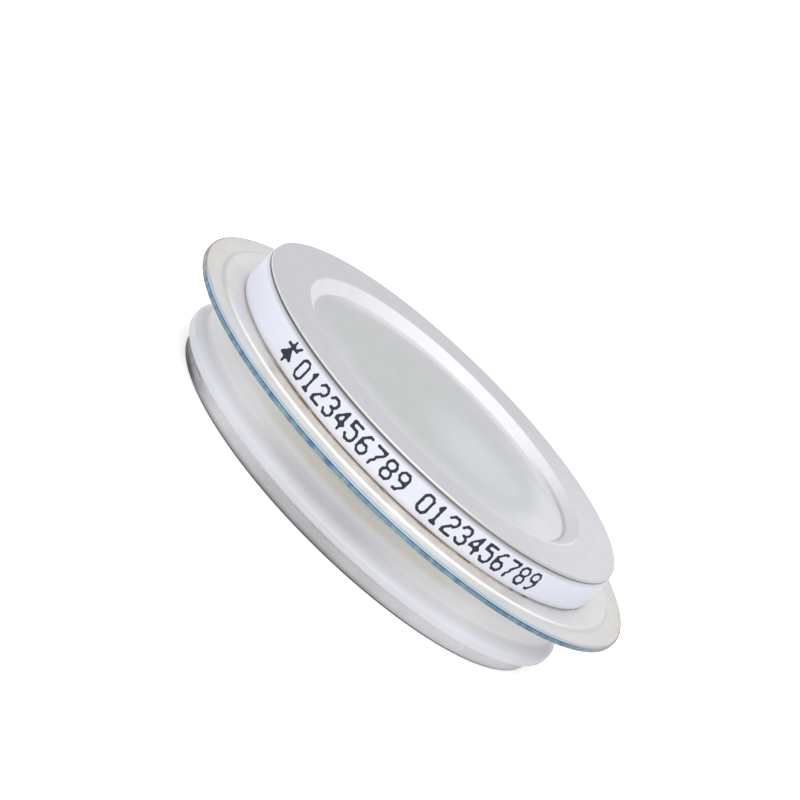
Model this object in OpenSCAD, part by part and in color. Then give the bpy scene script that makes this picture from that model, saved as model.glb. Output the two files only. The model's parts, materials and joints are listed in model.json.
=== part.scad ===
// Disc thyristor in a press-pack capsule: two ceramic rings, a welded rim flange,
// a pressed cathode lid and a turned anode base, with the wafer stack and the
// sprung gate contact inside. The anode base stands on Z = 0 and the cathode faces +Z.
// The gate tube leaves the capsule along +Y.

/* [Ceramic rings] */
// Wall of both ceramic rings
ceramic_wall = 6; // [4.5:0.1:8]
// Height of the upper ring, on the cathode side
upper_ceramic_h = 5.55; // [5:0.05:9]
// Height of the lower ring, on the anode side
lower_ceramic_h = 9.55; // [9:0.05:11.5]
// Radius of the rings' outer edges
ceramic_edge = 0.3; // [0.1:0.05:0.4]
// How far the rib at the foot of the lower ring stands out
rib_reach = 1.9; // [1.5:0.05:2.6]
// Height of the rib's outer side
rib_h = 1.55; // [1.4:0.05:2]
// Height of the rib's sloping shoulder
rib_shoulder = 1.425; // [1:0.025:1.8]
// Radius of the rib's edges
rib_edge = 0.7; // [0.3:0.05:0.75]
// Radius of the hollow corner above the rib
rib_fillet = 1.2; // [0.6:0.05:1.4]

/* [Brazed joints] */
// Thickness of the braze rings
braze_t = 0.15; // [0.1:0.05:0.25]
// How far the braze stands out past the ceramic
braze_proud = 0.12; // [0.05:0.01:0.15]

/* [Weld flange] */
// How far the welded rim stands out past the ceramic
flange_reach = 7.6; // [6:0.1:10]
// Thickness of each flange sheet
sheet_t = 0.5; // [0.3:0.05:0.6]
// Height of the pressed step in the upper sheet
flange_rise = 0.4; // [0.25:0.05:0.6]
// Radial width of the pressed step
flange_step_w = 1; // [0.8:0.05:1.6]
// Width of the flat land that is welded
weld_land = 3.2; // [2:0.1:4]
// How far the sheets stop short of the ceramic's bore
flange_setback = 0.6; // [0.2:0.1:1.5]

/* [Cathode lid] */
// Thickness of the lid sheet
pan_t = 0.5; // [0.3:0.05:0.6]
// How far the lid's rim lies inside the ceramic's edge
pan_inset = 0.2; // [0:0.05:0.5]

/* [Contact recesses] */
// Diameter of the flat contact faces
contact_d = 53; // [40:0.2:66]
// Radial width of the sloping recess wall
recess_flare = 2.5; // [2:0.1:3]
// Depth of the recesses
recess_depth = 1.6; // [1.2:0.05:1.8]
// Bend radius at both ends of the wall, to the middle of the lid sheet
recess_bend = 0.55; // [0.4:0.05:0.8]
// Least gap between the lid's recess and the bore of the ceramic
recess_gap = 1.9; // [1:0.1:4]

/* [Anode base] */
// Height of the base's rim
base_rim_h = 2.4; // [2.2:0.05:3.2]
// How far the base's rim stands out past the ceramic
base_overhang = 0.2; // [0:0.05:0.5]
// Radius of the rim's edges
base_edge = 0.3; // [0.1:0.05:0.5]
// Height of the pedestal above the rim
pedestal_h = 3.1; // [2.5:0.05:3.6]

/* [Wafer stack] */
// Diameter of the pedestal and of the disc that carries the wafer
stack_d = 50; // [40:0.5:62]
// Thickness of the silver foil on the pedestal
foil_t = 0.1; // [0.05:0.05:0.2]
// Thickness of the anode molybdenum disc
anode_moly_t = 2; // [1.5:0.1:2.5]
// How far the wafer's edge lies inside its disc
wafer_inset = 0.4; // [0.3:0.05:0.8]
// Thickness of the wafer
wafer_t = 0.5; // [0.3:0.05:0.8]
// Radial width of the wafer's bevel
wafer_bevel = 0.6; // [0.3:0.05:1]
// Thickness of the seal over the wafer's edge
seal_t = 0.4; // [0.2:0.05:0.6]
// Width of the seal on the wafer's face
seal_lap = 0.6; // [0.3:0.05:0.8]
// Thickness of the cathode molybdenum disc
cathode_moly_t = 1; // [0.6:0.1:1.5]
// Thickness of the silver shim
shim_t = 0.2; // [0.1:0.05:0.3]
// Gap between the seal and the cathode disc and pole
pole_margin = 0.9; // [0.4:0.1:2]
// Radius of the pole's edges
pole_edge = 0.4; // [0.2:0.05:0.6]
// Least wall of the ring that locates the stack
locating_wall = 5.6; // [3:0.1:8]
// How far the locating ring stands above the wafer
locating_lip = 0.5; // [0.2:0.05:0.8]
// Clearance round the stack and in the ceramic's bore
locating_fit = 0.15; // [0.1:0.01:0.3]

/* [Gate contact] */
// Diameter of the gate well in the cathode pole
well_d = 9; // [8:0.1:11]
// Depth of the gate well
well_depth = 6; // [5.4:0.05:6.8]
// Wall of the insulating cup
cup_wall = 1; // [0.6:0.05:1.2]
// Clearance round the cup in the well
cup_fit = 0.1; // [0.05:0.01:0.2]
// Clearance of the contact's collar in the cup
slide_fit = 0.2; // [0.1:0.01:0.3]
// Diameter of the hole for the contact through the disc and the shim
gate_hole_d = 6; // [5:0.1:8]
// Diameter of the contact's tip
tip_d = 3; // [2:0.1:4]
// How far the collar stays above the pole's face
collar_lift = 0.9; // [0.6:0.05:1.2]
// Height of the collar
collar_h = 1.2; // [1.1:0.05:1.5]
// Diameter of the stem that guides the springs
stem_d = 2.4; // [1.6:0.1:2.8]
// Play between the stem and the cup's ceiling
stem_play = 0.4; // [0.2:0.05:0.8]
// Number of disc springs
spring_count = 4; // [2:2:6]
// Thickness of each disc spring
spring_t = 0.3; // [0.2:0.02:0.4]
// Clearance of the springs on the stem and in the cup
spring_fit = 0.1; // [0.05:0.01:0.2]
// Air left between springs
spring_gap = 0.02; // [0.01:0.01:0.05]

/* [Gate lead] */
// Diameter of the lead wire
wire_d = 0.8; // [0.5:0.05:0.9]
// How deep the wire sits in the collar
wire_socket = 1.2; // [0.6:0.1:1.5]
// Diameter over the insulating sleeve
sleeve_d = 1.5; // [1.2:0.05:1.6]
// Clearance of the wire in its sleeve
sleeve_fit = 0.05; // [0.02:0.01:0.1]
// Bend radius of the lead
bend_r = 2; // [1.5:0.1:2.4]
// Clearance of the sleeve in the slots of the pole and the cup
slot_fit = 0.3; // [0.15:0.05:0.4]

/* [Gate terminal] */
// Outer diameter of the gate tube
tube_d = 2.5; // [2.1:0.05:3]
// Wall of the gate tube
tube_wall = 0.35; // [0.25:0.05:0.4]
// How far the tube stands out of the ceramic
tube_reach = 3.4; // [2.5:0.1:5]
// Straight length of sleeve between the lead's bend and the tube
tube_lead_in = 0.6; // [0.2:0.1:1]
// Clearance round the tube in the ceramic
tube_fit = 0.05; // [0.02:0.01:0.1]
// Length of the terminal's spigot inside the tube
spigot_l = 2; // [1:0.1:3]
// Clearance of the spigot in the tube
spigot_fit = 0.05; // [0.02:0.01:0.1]
// Thickness of the terminal's collar
terminal_collar_t = 0.5; // [0.3:0.1:1]
// Diameter of the terminal pin
terminal_d = 1.5; // [1:0.1:2]
// Length of the terminal pin
terminal_l = 3.2; // [2:0.1:5]
// Chamfer at the pin's tip
terminal_chamfer = 0.3; // [0.1:0.05:0.4]

/* [Hidden] */
$fn = 96;
// Overlength of cutting shapes
over = 1;
// Share of a sheet's thickness that rounds its rim
rim_round = 0.4;

// Radii, from the contact faces and the wafer stack outwards
contact_r = contact_d / 2;
recess_r = contact_r + recess_flare;
stack_r = stack_d / 2;
bore_r = max(recess_r + recess_gap, stack_r + locating_wall + 2 * locating_fit);
ceramic_r = bore_r + ceramic_wall;
braze_r = ceramic_r + braze_proud;
flange_r = ceramic_r + flange_reach;
flange_bore_r = bore_r + flange_setback;

// Heights of the seams, from the base upwards
lower_ceramic_z = base_rim_h + braze_t;
lower_sheet_z = lower_ceramic_z + lower_ceramic_h + braze_t;
upper_sheet_z = lower_sheet_z + sheet_t;
seat_sheet_z = upper_sheet_z + flange_rise;
upper_ceramic_z = seat_sheet_z + sheet_t + braze_t;
pan_z = upper_ceramic_z + upper_ceramic_h + braze_t;
pan_floor_z = pan_z - recess_depth;

// Heights of the wafer stack
foil_z = base_rim_h + pedestal_h;
anode_moly_z = foil_z + foil_t;
wafer_z = anode_moly_z + anode_moly_t;
cathode_moly_z = wafer_z + wafer_t;
shim_z = cathode_moly_z + cathode_moly_t;
pole_z = shim_z + shim_t;
wafer_r = stack_r - wafer_inset;
wafer_face_r = wafer_r - wafer_bevel;
seal_r = wafer_face_r - seal_lap;
pole_r = seal_r - pole_margin;

// Gate contact, from the wafer upwards
well_r = well_d / 2;
well_top_z = pole_z + well_depth;
cup_r = well_r - cup_fit;
cup_bore_r = cup_r - cup_wall;
cup_ceiling_z = well_top_z - cup_wall;
collar_r = cup_bore_r - slide_fit;
collar_z = pole_z + collar_lift;
collar_top_z = collar_z + collar_h;
spring_space = cup_ceiling_z - collar_top_z;
spring_pitch = spring_space / spring_count;

// Gate lead, from the contact out to the terminal
lead_z = collar_z + collar_h / 2;
gate_z = upper_ceramic_z + upper_ceramic_h / 2;
rise_y = (pole_r + bore_r) / 2;
slot_w = sleeve_d + 2 * slot_fit;
slot_top_z = lead_z + slot_w / 2;
tube_in_y = rise_y + bend_r + tube_lead_in;
tube_out_y = ceramic_r + tube_reach;
tube_bore_d = tube_d - 2 * tube_wall;
spigot_y = tube_out_y - spigot_l;
terminal_y = tube_out_y + terminal_collar_t;

nickel = [0.80, 0.80, 0.82];
flange_nickel = [0.86, 0.85, 0.83];
base_nickel = [0.70, 0.70, 0.72];
white_ceramic = [0.91, 0.92, 0.95];
braze_brown = [0.45, 0.36, 0.27];
copper = [0.80, 0.52, 0.38];
silver = [0.88, 0.88, 0.88];
molybdenum = [0.58, 0.59, 0.62];
silicon = [0.30, 0.31, 0.36];
seal_white = [0.93, 0.92, 0.90];
natural_plastic = [0.94, 0.94, 0.93];
spring_steel = [0.55, 0.56, 0.58];

// Bend radius of a step that runs dr along and dz across in two arcs alone
function arc_bend(dr, dz) = (dr * dr + dz * dz) / (4 * dz);

// Slope of a step with bends of radius b, whose centres lie dr and dz apart
function step_slope(dr, dz, b) = atan2(dz, dr) + asin(min(1, 2 * b / norm([dr, dz])));

// Section rectangle from radius r0 to r1 and height z0 to z1
module band(r0, z0, r1, z1) {
    translate([r0, z0]) square([r1 - r0, z1 - z0]);
}

// Section of a ring whose outer edges are rounded by e
module ring_band(r0, z0, r1, z1, e) {
    band(r0, z0, r1 - e, z1);
    band(r0, z0 + e, r1, z1 - e);
    for (z = [z0 + e, z1 - e]) {
        translate([r1 - e, z]) circle(e);
    }
}

// Section of a bent sheet: an arc of middle radius r and thickness t between two angles
module bent_sheet(r, t, a0, a1) {
    reach = 2 * (r + t);
    mid = (a0 + a1) / 2;
    intersection() {
        difference() {
            circle(r + t / 2);
            circle(r - t / 2);
        }
        polygon([
            [0, 0],
            reach * [cos(a0), sin(a0)],
            reach * [cos(mid), sin(mid)],
            reach * [cos(a1), sin(a1)]
        ]);
    }
}

// Section of a pressed step in a sheet of thickness t, between the ends of its flat parts:
// two bends of middle radius b, and a straight wall where they leave room for one.
// z_high and z_low are the undersides of the sheet at r_high and r_low.
module pressed_step(r_high, z_high, r_low, z_low, t, b) {
    run = [r_high - r_low, z_high - z_low - 2 * b];
    a = sign(run.x) * step_slope(abs(run.x), run.y, b);
    across = [-sin(a), cos(a)];
    translate([r_high, z_high + t / 2 - b]) bent_sheet(b, t, min(90, 90 + a), max(90, 90 + a));
    translate([r_low, z_low + t / 2 + b]) {
        bent_sheet(b, t, min(-90, a - 90), max(-90, a - 90));
        if (norm(run) > 2.01 * b) {
            polygon([
                run + (b + t / 2) * across,
                -(b - t / 2) * across,
                -(b + t / 2) * across,
                run + (b - t / 2) * across
            ]);
        }
    }
}

// Section of the space in a contact recess that opens downwards at height 0
module recess_space() {
    a = step_slope(recess_flare, recess_depth - 2 * recess_bend, recess_bend);
    mouth = [recess_r, recess_bend];
    corner = [contact_r, recess_depth - recess_bend];
    across = recess_bend * [sin(a), cos(a)];
    difference() {
        polygon([
            [0, -over],
            [recess_r, -over],
            [recess_r, 0],
            mouth - across,
            corner + across,
            [contact_r, recess_depth],
            [0, recess_depth]
        ]);
        translate(mouth) circle(recess_bend);
    }
    translate(corner) circle(recess_bend);
}

// Flat disc of radius r with a central hole
module washer(r, hole_r, z, t) {
    translate([0, 0, z]) {
        difference() {
            cylinder(r = r, h = t);
            translate([0, 0, -over]) cylinder(r = hole_r, h = t + 2 * over);
        }
    }
}

// Round bar along Y at height z
module bar_y(d, y0, y1, z) {
    translate([0, y0, z]) rotate([-90, 0, 0]) cylinder(d = d, h = y1 - y0);
}

// Quarter bend of a round bar in the Y-Z plane, round the centre y, z, from angle a
module bend_yz(d, y, z, a) {
    translate([0, y, z]) {
        rotate([90, 0, 90]) {
            rotate([0, 0, a]) rotate_extrude(angle = 90) translate([bend_r, 0]) circle(d = d);
        }
    }
}

// The lead's route as a bar of diameter d: out along the slot, up beside the pole and out to the tube
module lead_route(d, y0, y1) {
    bar_y(d, y0, rise_y - bend_r, lead_z);
    bend_yz(d, rise_y - bend_r, lead_z + bend_r, -90);
    translate([0, rise_y, lead_z + bend_r]) cylinder(d = d, h = gate_z - lead_z - 2 * bend_r);
    bend_yz(d, rise_y + bend_r, gate_z - bend_r, 90);
    bar_y(d, rise_y + bend_r, y1, gate_z);
}

// Slot that lets the lead out of the gate well along +Y, from height z upwards
module lead_slot(y1, z) {
    translate([-slot_w / 2, 0, z]) cube([slot_w, y1, slot_top_z - z]);
}

// Pressed lid sheet with the cathode contact recess
module cathode_pan() {
    rim_r = ceramic_r - pan_inset;
    color(nickel) rotate_extrude() {
        ring_band(recess_r, pan_z, rim_r, pan_z + pan_t, pan_t * rim_round);
        pressed_step(recess_r, pan_z, contact_r, pan_floor_z, pan_t, recess_bend);
        band(0, pan_floor_z, contact_r, pan_floor_z + pan_t);
    }
}

// Braze ring on a ceramic's end face at height z
module braze_ring(z) {
    color(braze_brown) washer(braze_r, bore_r, z, braze_t);
}

module cathode_braze_ring() {
    color(braze_brown) washer(ceramic_r - pan_inset, bore_r, pan_z - braze_t, braze_t);
}

module upper_ceramic_ring() {
    color(white_ceramic) difference() {
        rotate_extrude() {
            ring_band(bore_r, upper_ceramic_z, ceramic_r, upper_ceramic_z + upper_ceramic_h, ceramic_edge);
        }
        bar_y(tube_d + 2 * tube_fit, 0, ceramic_r + over, gate_z);
    }
}

module upper_ceramic_braze_ring() {
    braze_ring(upper_ceramic_z - braze_t);
}

// Upper flange sheet: raised seat for the ceramic, pressed step and weld land
module upper_weld_flange() {
    land_r = flange_r - weld_land;
    seat_r = land_r - flange_step_w;
    step_bend = arc_bend(flange_step_w, flange_rise);
    color(flange_nickel) rotate_extrude() {
        band(flange_bore_r, seat_sheet_z, seat_r, seat_sheet_z + sheet_t);
        pressed_step(seat_r, seat_sheet_z, land_r, upper_sheet_z, sheet_t, step_bend);
        ring_band(land_r, upper_sheet_z, flange_r, upper_sheet_z + sheet_t, sheet_t * rim_round);
    }
}

// Flat lower flange sheet
module lower_weld_flange() {
    color(flange_nickel) rotate_extrude() {
        ring_band(flange_bore_r, lower_sheet_z, flange_r, upper_sheet_z, sheet_t * rim_round);
    }
}

module lower_ceramic_braze_ring() {
    braze_ring(lower_sheet_z - braze_t);
}

// Tall ceramic ring with a rib at its foot, whose sloping shoulder runs up into the neck
module lower_ceramic_ring() {
    rib_r = ceramic_r + rib_reach;
    side_z = lower_ceramic_z + rib_h;
    neck_z = side_z + rib_shoulder;
    slope = atan2(rib_shoulder, rib_reach);
    turn = tan((90 - slope) / 2);
    edge_side = rib_edge * turn;
    hollow_side = rib_fillet * turn;
    along = [cos(slope), -sin(slope)];
    color(white_ceramic) rotate_extrude() {
        ring_band(bore_r, lower_ceramic_z, ceramic_r, lower_ceramic_z + lower_ceramic_h, ceramic_edge);
        difference() {
            polygon([
                [bore_r, lower_ceramic_z],
                [rib_r - rib_edge, lower_ceramic_z],
                [rib_r, lower_ceramic_z + rib_edge],
                [rib_r, side_z - edge_side],
                [rib_r, side_z] - edge_side * along,
                [ceramic_r, neck_z] + hollow_side * along,
                [ceramic_r, neck_z + hollow_side],
                [bore_r, neck_z + hollow_side]
            ]);
            translate([ceramic_r + rib_fillet, neck_z + hollow_side]) circle(rib_fillet);
        }
        for (z = [lower_ceramic_z + rib_edge, side_z - edge_side]) {
            translate([rib_r - rib_edge, z]) circle(rib_edge);
        }
    }
}

module anode_braze_ring() {
    braze_ring(base_rim_h);
}

// Turned base: rim under the ceramic, pedestal under the wafer, contact recess below
module anode_base() {
    color(base_nickel) rotate_extrude() {
        difference() {
            union() {
                ring_band(0, 0, ceramic_r + base_overhang, base_rim_h, base_edge);
                band(0, base_rim_h - base_edge, stack_r, foil_z);
            }
            recess_space();
        }
    }
}

module anode_silver_foil() {
    color(silver) translate([0, 0, foil_z]) cylinder(r = stack_r, h = foil_t);
}

module anode_molybdenum_disc() {
    color(molybdenum) translate([0, 0, anode_moly_z]) cylinder(r = stack_r, h = anode_moly_t);
}

module silicon_wafer() {
    color(silicon) translate([0, 0, wafer_z]) cylinder(r1 = wafer_r, r2 = wafer_face_r, h = wafer_t);
}

// Seal that fills the bevel, laps over the wafer's face and slopes down to the disc's edge
module wafer_edge_seal() {
    color(seal_white) rotate_extrude() {
        polygon([
            [wafer_r, wafer_z],
            [stack_r, wafer_z],
            [stack_r, cathode_moly_z],
            [wafer_r, cathode_moly_z + seal_t],
            [seal_r, cathode_moly_z + seal_t],
            [seal_r, cathode_moly_z],
            [wafer_face_r, cathode_moly_z]
        ]);
    }
}

module cathode_molybdenum_disc() {
    color(molybdenum) washer(pole_r, gate_hole_d / 2, cathode_moly_z, cathode_moly_t);
}

module cathode_silver_shim() {
    color(silver) washer(pole_r, gate_hole_d / 2, shim_z, shim_t);
}

// Copper pole with the gate well in its lower face and a slot for the lead
module cathode_pole() {
    color(copper) difference() {
        rotate_extrude() ring_band(0, pole_z, pole_r, pan_floor_z, pole_edge);
        translate([0, 0, pole_z - over]) cylinder(r = well_r, h = well_depth + over);
        lead_slot(pole_r + over, pole_z - over);
    }
}

// Plastic ring between the wafer stack and the ceramic's bore
module wafer_locating_ring() {
    color(natural_plastic) washer(
        bore_r - locating_fit,
        stack_r + locating_fit,
        base_rim_h,
        cathode_moly_z + locating_lip - base_rim_h
    );
}

// Insulating cup that lines the gate well, open below
module gate_insulator_cup() {
    color(natural_plastic) difference() {
        translate([0, 0, pole_z]) cylinder(r = cup_r, h = well_depth);
        translate([0, 0, pole_z - over]) cylinder(r = cup_bore_r, h = cup_ceiling_z - pole_z + over);
        lead_slot(well_r + over, pole_z - over);
    }
}

// Turned contact: tip on the wafer, collar with the wire's socket, stem for the springs
module gate_contact() {
    color(silver) difference() {
        union() {
            translate([0, 0, cathode_moly_z]) cylinder(d = tip_d, h = collar_z - cathode_moly_z);
            translate([0, 0, collar_z]) cylinder(r = collar_r, h = collar_h);
            translate([0, 0, collar_top_z]) cylinder(d = stem_d, h = spring_space - stem_play);
        }
        bar_y(wire_d, collar_r - wire_socket, collar_r + over, lead_z);
    }
}

// Coned disc springs, stacked face to face in turn
module gate_disc_springs() {
    hole_r = stem_d / 2 + spring_fit;
    rim_r = collar_r - spring_fit;
    rise = spring_pitch - spring_t - spring_gap;
    color(spring_steel) for (i = [0 : spring_count - 1]) {
        hole_rise = i % 2 == 0 ? rise : 0;
        rim_rise = rise - hole_rise;
        translate([0, 0, collar_top_z + i * spring_pitch + spring_gap / 2]) rotate_extrude() {
            polygon([
                [hole_r, hole_rise],
                [rim_r, rim_rise],
                [rim_r, rim_rise + spring_t],
                [hole_r, hole_rise + spring_t]
            ]);
        }
    }
}

module gate_lead_wire() {
    color(copper) lead_route(wire_d, collar_r - wire_socket, spigot_y);
}

// Sleeve from the contact's collar to the gate tube
module gate_lead_sleeve() {
    color(natural_plastic) difference() {
        lead_route(sleeve_d, collar_r, tube_in_y);
        lead_route(wire_d + 2 * sleeve_fit, collar_r - over, tube_in_y + over);
    }
}

module gate_tube() {
    color(flange_nickel) difference() {
        bar_y(tube_d, tube_in_y, tube_out_y, gate_z);
        bar_y(tube_bore_d, tube_in_y - over, tube_out_y + over, gate_z);
    }
}

// Terminal that closes the tube: spigot inside, collar on the tube's end, pin outside
module gate_terminal_pin() {
    shank_l = terminal_l - terminal_chamfer;
    color(nickel) {
        bar_y(tube_bore_d - 2 * spigot_fit, spigot_y, tube_out_y, gate_z);
        bar_y(tube_d, tube_out_y, terminal_y, gate_z);
        bar_y(terminal_d, terminal_y, terminal_y + shank_l, gate_z);
        translate([0, terminal_y + shank_l, gate_z]) rotate([-90, 0, 0]) {
            cylinder(d1 = terminal_d, d2 = terminal_d - 2 * terminal_chamfer, h = terminal_chamfer);
        }
    }
}

cathode_pan();
cathode_braze_ring();
upper_ceramic_ring();
upper_ceramic_braze_ring();
upper_weld_flange();
lower_weld_flange();
lower_ceramic_braze_ring();
lower_ceramic_ring();
anode_braze_ring();
anode_base();
anode_silver_foil();
anode_molybdenum_disc();
silicon_wafer();
wafer_edge_seal();
cathode_molybdenum_disc();
cathode_silver_shim();
cathode_pole();
wafer_locating_ring();
gate_insulator_cup();
gate_contact();
gate_disc_springs();
gate_lead_wire();
gate_lead_sleeve();
gate_tube();
gate_terminal_pin();
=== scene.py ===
# Looks of a disc thyristor in a press-pack capsule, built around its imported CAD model.
import json
import math

import bpy
from bpy.props import FloatProperty, FloatVectorProperty, IntProperty, PointerProperty, StringProperty
from mathutils import Matrix, Quaternion, Vector


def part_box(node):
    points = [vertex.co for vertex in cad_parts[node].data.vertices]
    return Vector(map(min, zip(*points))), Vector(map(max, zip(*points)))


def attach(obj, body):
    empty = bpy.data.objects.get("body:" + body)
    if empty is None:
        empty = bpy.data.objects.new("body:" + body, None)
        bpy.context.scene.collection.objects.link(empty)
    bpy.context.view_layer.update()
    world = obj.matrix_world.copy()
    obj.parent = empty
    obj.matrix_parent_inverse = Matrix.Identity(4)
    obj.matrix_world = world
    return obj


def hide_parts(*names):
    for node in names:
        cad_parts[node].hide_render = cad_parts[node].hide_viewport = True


bl_info = {
    "name": "Disc thyristor capsule",
    "version": (1, 0, 0),
    "blender": (4, 5, 0),
    "location": "View3D > Sidebar > Capsule",
    "description": "Builds the looks of a press-pack disc thyristor around its CAD model",
    "category": "Object",
}

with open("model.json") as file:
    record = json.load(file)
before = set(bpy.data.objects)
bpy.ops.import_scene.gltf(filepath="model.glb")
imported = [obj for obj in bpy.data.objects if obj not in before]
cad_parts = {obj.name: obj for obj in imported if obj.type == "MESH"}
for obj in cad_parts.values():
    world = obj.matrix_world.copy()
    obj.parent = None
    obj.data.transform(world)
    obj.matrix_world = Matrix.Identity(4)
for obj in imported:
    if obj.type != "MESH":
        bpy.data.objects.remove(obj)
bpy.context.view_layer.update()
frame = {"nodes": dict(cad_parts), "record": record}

MM = 0.001
# Steps round a turned piece, and round one with a wandering edge
SEGMENTS = 320
FINE_SEGMENTS = 720
# Edge radius of sheets and seams, as a share of their thickness
ROUND_SHARE = 0.4


def node_box(node):
    """Outer radius, lowest and highest Z of a CAD node of revolution, in metres."""
    low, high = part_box(node)
    return round(high.x, 6), round(low.z, 6), round(high.z, 6)


LID_R, LID_LOW, LID_TOP = node_box("cathode_pan")
UPPER_R, UPPER_Z, UPPER_TOP = node_box("upper_ceramic_ring")
FLANGE_R, LAND_Z, SEAT_TOP = node_box("upper_weld_flange")
LOWER_SHEET_Z, LOWER_SHEET_TOP = node_box("lower_weld_flange")[1:]
RIB_R, LOWER_Z, LOWER_TOP = node_box("lower_ceramic_ring")
BASE_R, BASE_Z, BASE_TOP = node_box("anode_base")
BASE_RIM_TOP = node_box("anode_braze_ring")[1]
TUBE_LOW, TUBE_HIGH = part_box("gate_tube")
PIN_LOW, PIN_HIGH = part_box("gate_terminal_pin")


def length(name, description, default):
    """A length in metres."""
    return FloatProperty(name=name, description=description, default=default, unit="LENGTH", precision=5)


def share(name, description, default, top=1.0):
    """A plain number from 0 to top."""
    return FloatProperty(name=name, description=description, default=default, min=0.0, max=top)


def whole(name, description, default):
    """A whole number."""
    return IntProperty(name=name, description=description, default=default, min=1)


def angle(name, description, default):
    """An angle, given in degrees."""
    return FloatProperty(name=name, description=description, default=math.radians(default), subtype="ANGLE")


def colour(name, description, default):
    """A linear colour."""
    return FloatVectorProperty(
        name=name, description=description, default=default, size=3, subtype="COLOR", min=0.0, max=1.0
    )


class LidSettings(bpy.types.PropertyGroup):
    rim_radius: length("Rim radius", "Outer radius of the lid sheet", LID_R)
    top: length("Top", "Height of the lid's rim", LID_TOP)
    sheet: length("Sheet", "Thickness of the lid sheet", 0.5 * MM)
    mouth_radius: length("Mouth radius", "Radius where the recess begins", 29.0 * MM)
    floor_radius: length("Floor radius", "Radius of the contact face", 26.5 * MM)
    bend: length("Bend", "Bend radius of the recess wall, to the middle of the sheet", 0.55 * MM)
    rim_color: colour("Rim colour", "Satin nickel of the flat rim", (0.655, 0.655, 0.685))
    floor_color: colour("Floor colour", "Satin nickel of the contact face", (0.615, 0.62, 0.62))
    # Wall colour: burnished nickel, also painted paler than the rest of the sheet for the light it catches
    wall_color: colour("Wall colour", "Burnished recess wall", (0.80, 0.80, 0.815))
    # Bloom colour: a painted reflection on the contact face
    painted_reflection_color: colour("Bloom colour", "Bluish bloom on the contact face", (0.69, 0.725, 0.755))
    # Edge colour: a painted highlight on the rim's upper edge
    edge_highlight_color: colour("Edge colour", "Bright worn edge of the rim", (0.74, 0.735, 0.72))


class CeramicSettings(bpy.types.PropertyGroup):
    radius: length("Radius", "Outer radius of both rings", UPPER_R)
    bore: length("Bore", "Inner radius of both rings", 30.9 * MM)
    edge: length("Edge", "Radius of the rings' edges", 0.3 * MM)
    rib_radius: length("Rib radius", "Outer radius of the rib at the foot", RIB_R)
    rib_height: length("Rib height", "Height of the rib's outer side", 1.55 * MM)
    rib_shoulder: length("Rib shoulder", "Height of the rib's sloping shoulder", 1.425 * MM)
    rib_edge: length("Rib edge", "Radius of the rib's edges", 0.7 * MM)
    rib_fillet: length("Rib fillet", "Radius of the hollow above the rib", 1.2 * MM)
    upper_color: colour("Upper colour", "Matt white ceramic", (0.80, 0.825, 0.92))
    # Foot colour: painted shade along the upper ring's foot
    foot_shade_color: colour("Foot colour", "Duller white along the upper ring's foot", (0.64, 0.64, 0.69))
    lower_color: colour("Lower colour", "Glazed white side of the rib", (0.67, 0.675, 0.72))
    # Shoulder, hollow, neck and stain colours hold painted light and shade: a lit shoulder, a shaded hollow and
    # neck, and shade with a tan stain under the flange
    shoulder_light_color: colour("Shoulder colour", "Paler glaze on the rib's shoulder", (0.75, 0.775, 0.84))
    hollow_shade_color: colour("Hollow colour", "Grey of the hollow above the rib, at the front", (0.52, 0.52, 0.555))
    neck_shade_color: colour("Neck colour", "Thinner, greyer glaze on the neck", (0.645, 0.645, 0.655))
    stain_and_shade_color: colour("Stain colour", "Tan stain under the flange", (0.555, 0.535, 0.50))


class FlangeSettings(bpy.types.PropertyGroup):
    radius: length("Radius", "Outer radius of the welded rim", FLANGE_R)
    bore: length("Bore", "Inner radius of the sheets", 31.5 * MM)
    sheet: length("Sheet", "Thickness of each sheet", 0.5 * MM)
    seat_radius: length("Seat radius", "Radius where the seat ends", 40.3 * MM)
    land_radius: length("Land radius", "Radius where the weld land begins", 41.3 * MM)
    seat_color: colour("Seat colour", "Warm nickel beside the ceramic", (0.90, 0.835, 0.745))
    land_color: colour("Land colour", "Pale nickel of the weld land", (0.88, 0.885, 0.855))
    # Step colour: a painted highlight on the step's ridge
    step_highlight_color: colour("Step colour", "Bright ridge of the pressed step", (1.0, 0.99, 0.96))
    straw_color: colour("Straw tint", "Heat tint of the rim away from its blue part", (0.40, 0.345, 0.30))
    blue_color: colour("Blue tint", "Heat tint of the rim", (0.07, 0.16, 0.25))


class BaseSettings(bpy.types.PropertyGroup):
    radius: length("Radius", "Outer radius of the base", BASE_R)
    rim_height: length("Rim height", "Height of the base's rim", BASE_RIM_TOP)
    edge: length("Edge", "Radius of the rim's edges", 0.3 * MM)
    pedestal_radius: length("Pedestal radius", "Radius of the pedestal under the wafer", 25.0 * MM)
    color: colour("Colour", "Turned nickel plate", (0.52, 0.52, 0.535))
    # Foot colour: painted shade towards the base's lower edge
    foot_shade_color: colour("Foot colour", "Darker plate towards the lower edge", (0.37, 0.37, 0.375))
    # Scuff colour: dark scuffs, and painted shade at the rim's left end
    scuff_and_shade_color: colour("Scuff colour", "Dark scuffs on the rim", (0.17, 0.17, 0.18))


class BrazeSettings(bpy.types.PropertyGroup):
    wobble: length("Wobble", "How far the seams wander", 0.09 * MM)
    bead_size: length("Bead size", "Radius of the largest braze beads", 0.22 * MM)
    bead_count: whole("Bead count", "Places along the seam where a bead may sit", 420)
    seed: whole("Seed", "Seed of the seams and beads", 7)
    color: colour("Colour", "Tarnished braze", (0.27, 0.215, 0.165))
    bright_color: colour("Bright colour", "Braze that stayed bright", (0.62, 0.54, 0.45))


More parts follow.
